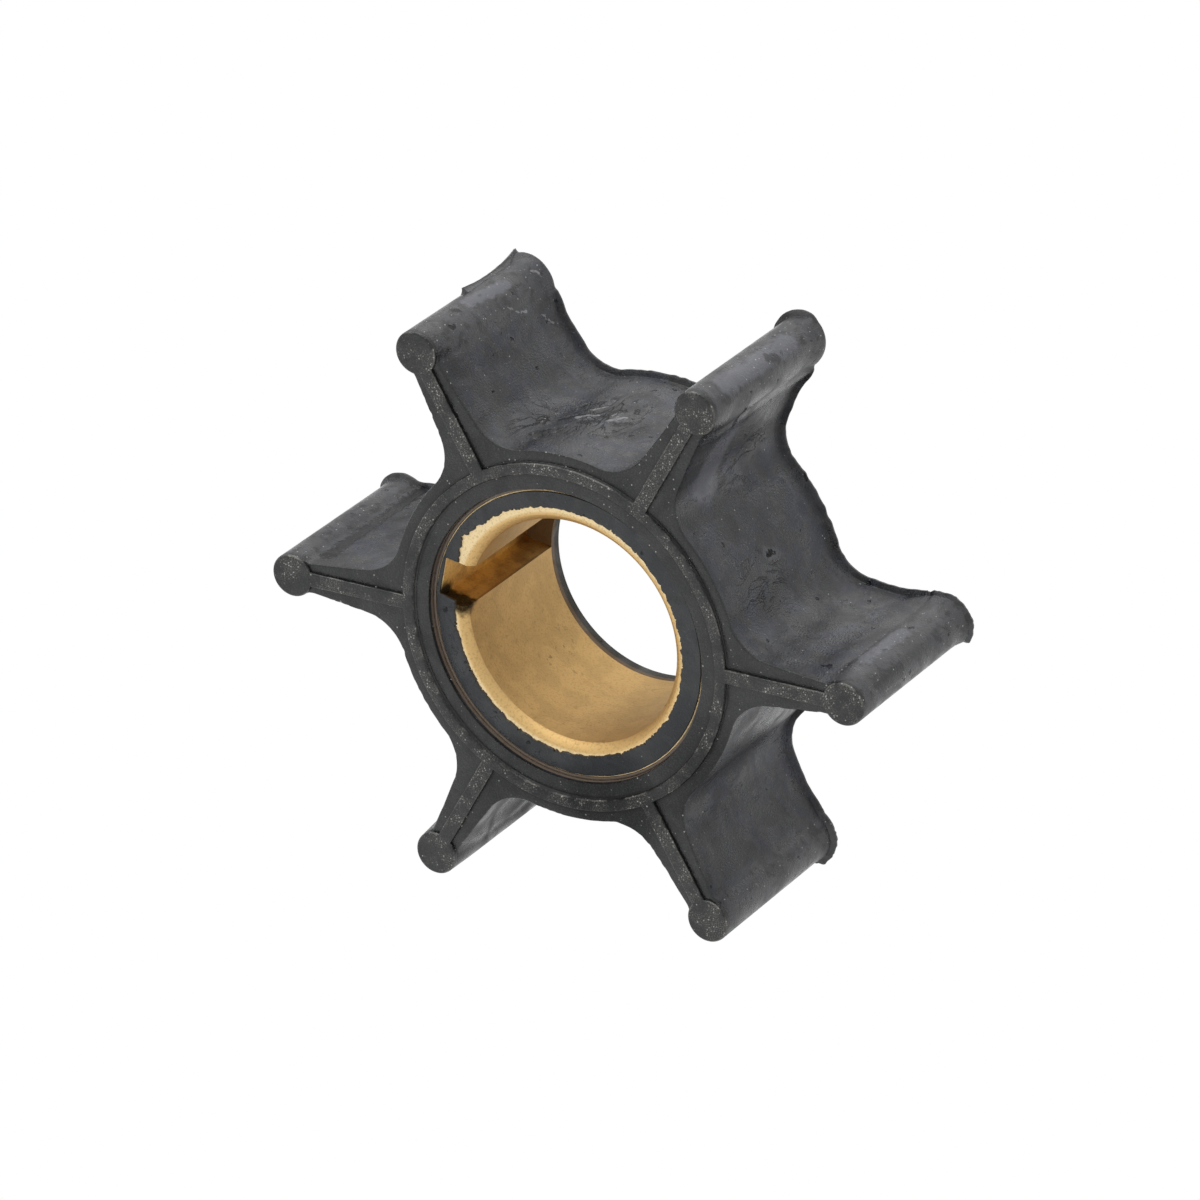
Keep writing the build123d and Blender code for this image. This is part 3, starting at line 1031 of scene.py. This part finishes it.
def turned_brass(sizes):
    """Turned brass that has dulled: sandy in the bore, cream on the end face, golden in the keyway."""
    material, tree = new_material("turned_dull_brass")
    place, distance, level, _ = whereabouts(tree)
    bore = sizes.bore_diameter / 2 / MM
    mouth = bore + sizes.bore_chamfer / MM
    foot = BUSH_FRONT - sizes.bore_chamfer / MM
    inside = within(tree, distance, (bore + 0.5, bore + 0.3))
    end = whole(
        tree, within(tree, level, (BUSH_FRONT - 0.03, BUSH_FRONT - 0.01)),
        within(tree, distance, (mouth + 0.05, mouth + 0.4)),
    )
    # The keyway was broached, and its metal is more golden than the bore's.
    key = either(
        tree,
        whole(
            tree, within(tree, distance, (bore + 0.1, bore + 0.3)),
            within(tree, level, (foot - 0.01, foot - 0.09)),
        ),
        whole(
            tree, within(tree, distance, (mouth + 0.06, mouth + 0.1)),
            within(tree, level, (BUSH_FRONT - 0.01, BUSH_FRONT - 0.05)),
        ),
    )
    golden = laid(tree, linear("#F0CB80"), ("#CFA869", patches(tree, place, 1.6, (0.4, 0.65), 4.0)))
    # Painted shadow: a near-black patch on the keyway's lower wall at the front, under the film that hangs
    # over it.
    painted_keyway_shadow = stroke(tree, ragged(tree, place), (-10.8, -7.3, 0.4), (-12.7, -7.4, 0.75), 3.0)
    tarnish = patches(tree, place, 0.5, (0.6, 0.72), 5.0, 0.5)
    rubbed = whole(tree, tarnish, near(tree, place, ((-7.2, 1.7, -7.2), 1.0, 3.8, 0.6)))
    # Turning marks are finer than this grain, which is drawn coarser so that it shows.
    grain = add(tree, "ShaderNodeTexNoise", {"Vector": place, "Scale": 1 / (0.2 * MM), "Detail": 3.0})
    tone = laid(
        tree, (*sizes.colour, 1),
        ("#BA9A66", patches(tree, place, 2.2, (0.4, 0.62), 5.0, 0.4), 0.6),
        ("#E6C386", within(tree, level, (foot - 0.09, foot - 0.01))),
        ("#FCE6B8", end),
        (golden, key),
        ("#17120C", painted_keyway_shadow, 0.95),
        ("#7D6F5C", rubbed),
        ("#8A714C", tarnish, inside, 0.3),
        ("#6B4022", specks(tree, place, 2.4, 0.2, 0.4), inside, 0.8),
        ("#9A7C4A", within(tree, grain, (0.48, 0.7)), 0.3),
    )
    bump = add(tree, "ShaderNodeBump", {"Height": grain, "Strength": 0.4, "Distance": 0.06 * MM})
    shader = add(
        tree, "ShaderNodeBsdfPrincipled",
        {"Base Color": tone, "Metallic": 1.0, "Roughness": 0.55, "Normal": bump},
    )
    add(tree, "ShaderNodeOutputMaterial", {"Surface": shader})
    return material


# The stage


def paper_floor():
    """Matt white paper, which the camera and reflections see as plain white, with no shadows on it."""
    material, tree = new_material("matt_white_paper")
    rays = add(tree, "ShaderNodeLightPath").outputs
    seen = either(tree, rays["Is Camera Ray"], rays["Is Glossy Ray"], rays["Is Transmission Ray"])
    matt = add(tree, "ShaderNodeBsdfDiffuse", {"Color": linear("#C8C8C8")})
    white = add(tree, "ShaderNodeEmission", {"Color": (1, 1, 1, 1), "Strength": 1.0})
    mix = add(tree, "ShaderNodeMixShader", {0: seen, 1: matt, 2: white})
    add(tree, "ShaderNodeOutputMaterial", {"Surface": mix})
    return material


class IMPELLER_OT_stage(bpy.types.Operator):
    """Build the white floor, the soft light and the camera"""

    bl_idname = "impeller.stage"
    bl_label = "Stage"

    def execute(self, context):
        stage = context.scene.impeller_stage
        scene = context.scene
        scene.view_settings.view_transform = "Standard"
        bm = bmesh.new()
        bmesh.ops.create_grid(bm, x_segments=1, y_segments=1, size=stage.floor_size / 2)
        bmesh.ops.translate(bm, verts=bm.verts, vec=(0, 0, BODY_LOW.z * MM))
        mesh = bpy.data.meshes.new("floor")
        bm.to_mesh(mesh)
        bm.free()
        mesh.materials.append(paper_floor())
        floor = bpy.data.objects.new("floor", mesh)
        scene.collection.objects.link(floor)
        floor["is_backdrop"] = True

        world = bpy.data.worlds.new("soft_white_room")
        scene.world = world
        world.use_nodes = True
        tree = world.node_tree
        tree.nodes.clear()
        dim = add(tree, "ShaderNodeBackground", {"Color": (1, 1, 1, 1), "Strength": stage.ambient})
        white = add(tree, "ShaderNodeBackground", {"Color": (1, 1, 1, 1), "Strength": 1.0})
        seen = add(tree, "ShaderNodeLightPath").outputs["Is Camera Ray"]
        mix = add(tree, "ShaderNodeMixShader", {0: seen, 1: dim, 2: white})
        add(tree, "ShaderNodeOutputWorld", {"Surface": mix})

        lamp("key_lamp", (-0.12, -0.05, 0.42), 0.45, stage.key_power)
        lamp("back_lamp", (-0.02, 0.45, 0.36), 0.6, stage.back_power)

        camera_data = bpy.data.cameras.new("camera")
        camera_data.sensor_width = 36.0
        camera_data.lens = 235.7
        camera_data.clip_end = 10.0
        camera = bpy.data.objects.new("camera", camera_data)
        scene.collection.objects.link(camera)
        camera.matrix_world = camera_pose()
        scene.camera = camera
        return {"FINISHED"}


def lamp(name, place, size, power):
    """A soft square lamp that looks at the impeller."""
    data = bpy.data.lights.new(name, "AREA")
    data.shape = "SQUARE"
    data.size = size
    data.energy = power
    light = bpy.data.objects.new(name, data)
    light.location = place
    light.rotation_euler = (-Vector(place)).to_track_quat("-Z", "Y").to_euler()
    bpy.context.scene.collection.objects.link(light)


def camera_pose():
    """Looks down at the front end from its right, hardly rolled, with the impeller a little off centre."""
    azimuth, elevation, roll = (math.radians(a) for a in (31.7433, 25.2223, -1.7859))
    back = Vector((
        math.sin(azimuth) * math.cos(elevation), -math.cos(azimuth) * math.cos(elevation), math.sin(elevation)
    ))
    level = Vector((math.cos(azimuth), math.sin(azimuth), 0))
    upright = back.cross(level)
    right = level * math.cos(roll) + upright * math.sin(roll)
    up = upright * math.cos(roll) - level * math.sin(roll)
    away, aside, below, ahead = 666.36, 1.32435, 0.06102, 0.345
    place = away * back - aside * right - below * up - Vector((0, ahead, 0))
    turn = Matrix((right, up, back)).transposed().to_4x4()
    return Matrix.Translation(place * MM) @ turn


class IMPELLER_PT_panel(bpy.types.Panel):
    """Lists the sizes, the colours and the pieces"""

    bl_idname = "IMPELLER_PT_panel"
    bl_label = "Impeller"
    bl_space_type = "VIEW_3D"
    bl_region_type = "UI"
    bl_category = "Impeller"

    def draw(self, context):
        for group, idname in GROUPS:
            box = self.layout.box()
            props = getattr(context.scene, group)
            for name in props.bl_rna.properties.keys():
                if name not in {"rna_type", "name"}:
                    box.prop(props, name)
            box.operator(idname)


GROUPS = (
    ("impeller_rubber", "impeller.rubber"),
    ("impeller_brass", "impeller.bush"),
    ("impeller_stage", "impeller.stage"),
)
CLASSES = (
    ImpellerRubber, ImpellerBrass, ImpellerStage,
    IMPELLER_OT_rubber, IMPELLER_OT_bush, IMPELLER_OT_stage, IMPELLER_PT_panel,
)


def register():
    """Makes the sizes, the operators and the panel known."""
    for cls in CLASSES:
        bpy.utils.register_class(cls)
    bpy.types.Scene.impeller_rubber = PointerProperty(type=ImpellerRubber)
    bpy.types.Scene.impeller_brass = PointerProperty(type=ImpellerBrass)
    bpy.types.Scene.impeller_stage = PointerProperty(type=ImpellerStage)


def unregister():
    """Takes them away again."""
    del bpy.types.Scene.impeller_rubber
    del bpy.types.Scene.impeller_brass
    del bpy.types.Scene.impeller_stage
    for cls in reversed(CLASSES):
        bpy.utils.unregister_class(cls)


def main():
    """Builds every piece and the stage."""
    register()
    bpy.ops.impeller.rubber()
    bpy.ops.impeller.bush()
    bpy.ops.impeller.stage()
    boxes = {"cad": CAD_BOUNDS, "visual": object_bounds()}
    boxes = {name: [[float(v) for v in corner] for corner in box] for name, box in boxes.items()}


if __name__ == "__main__":
    main()
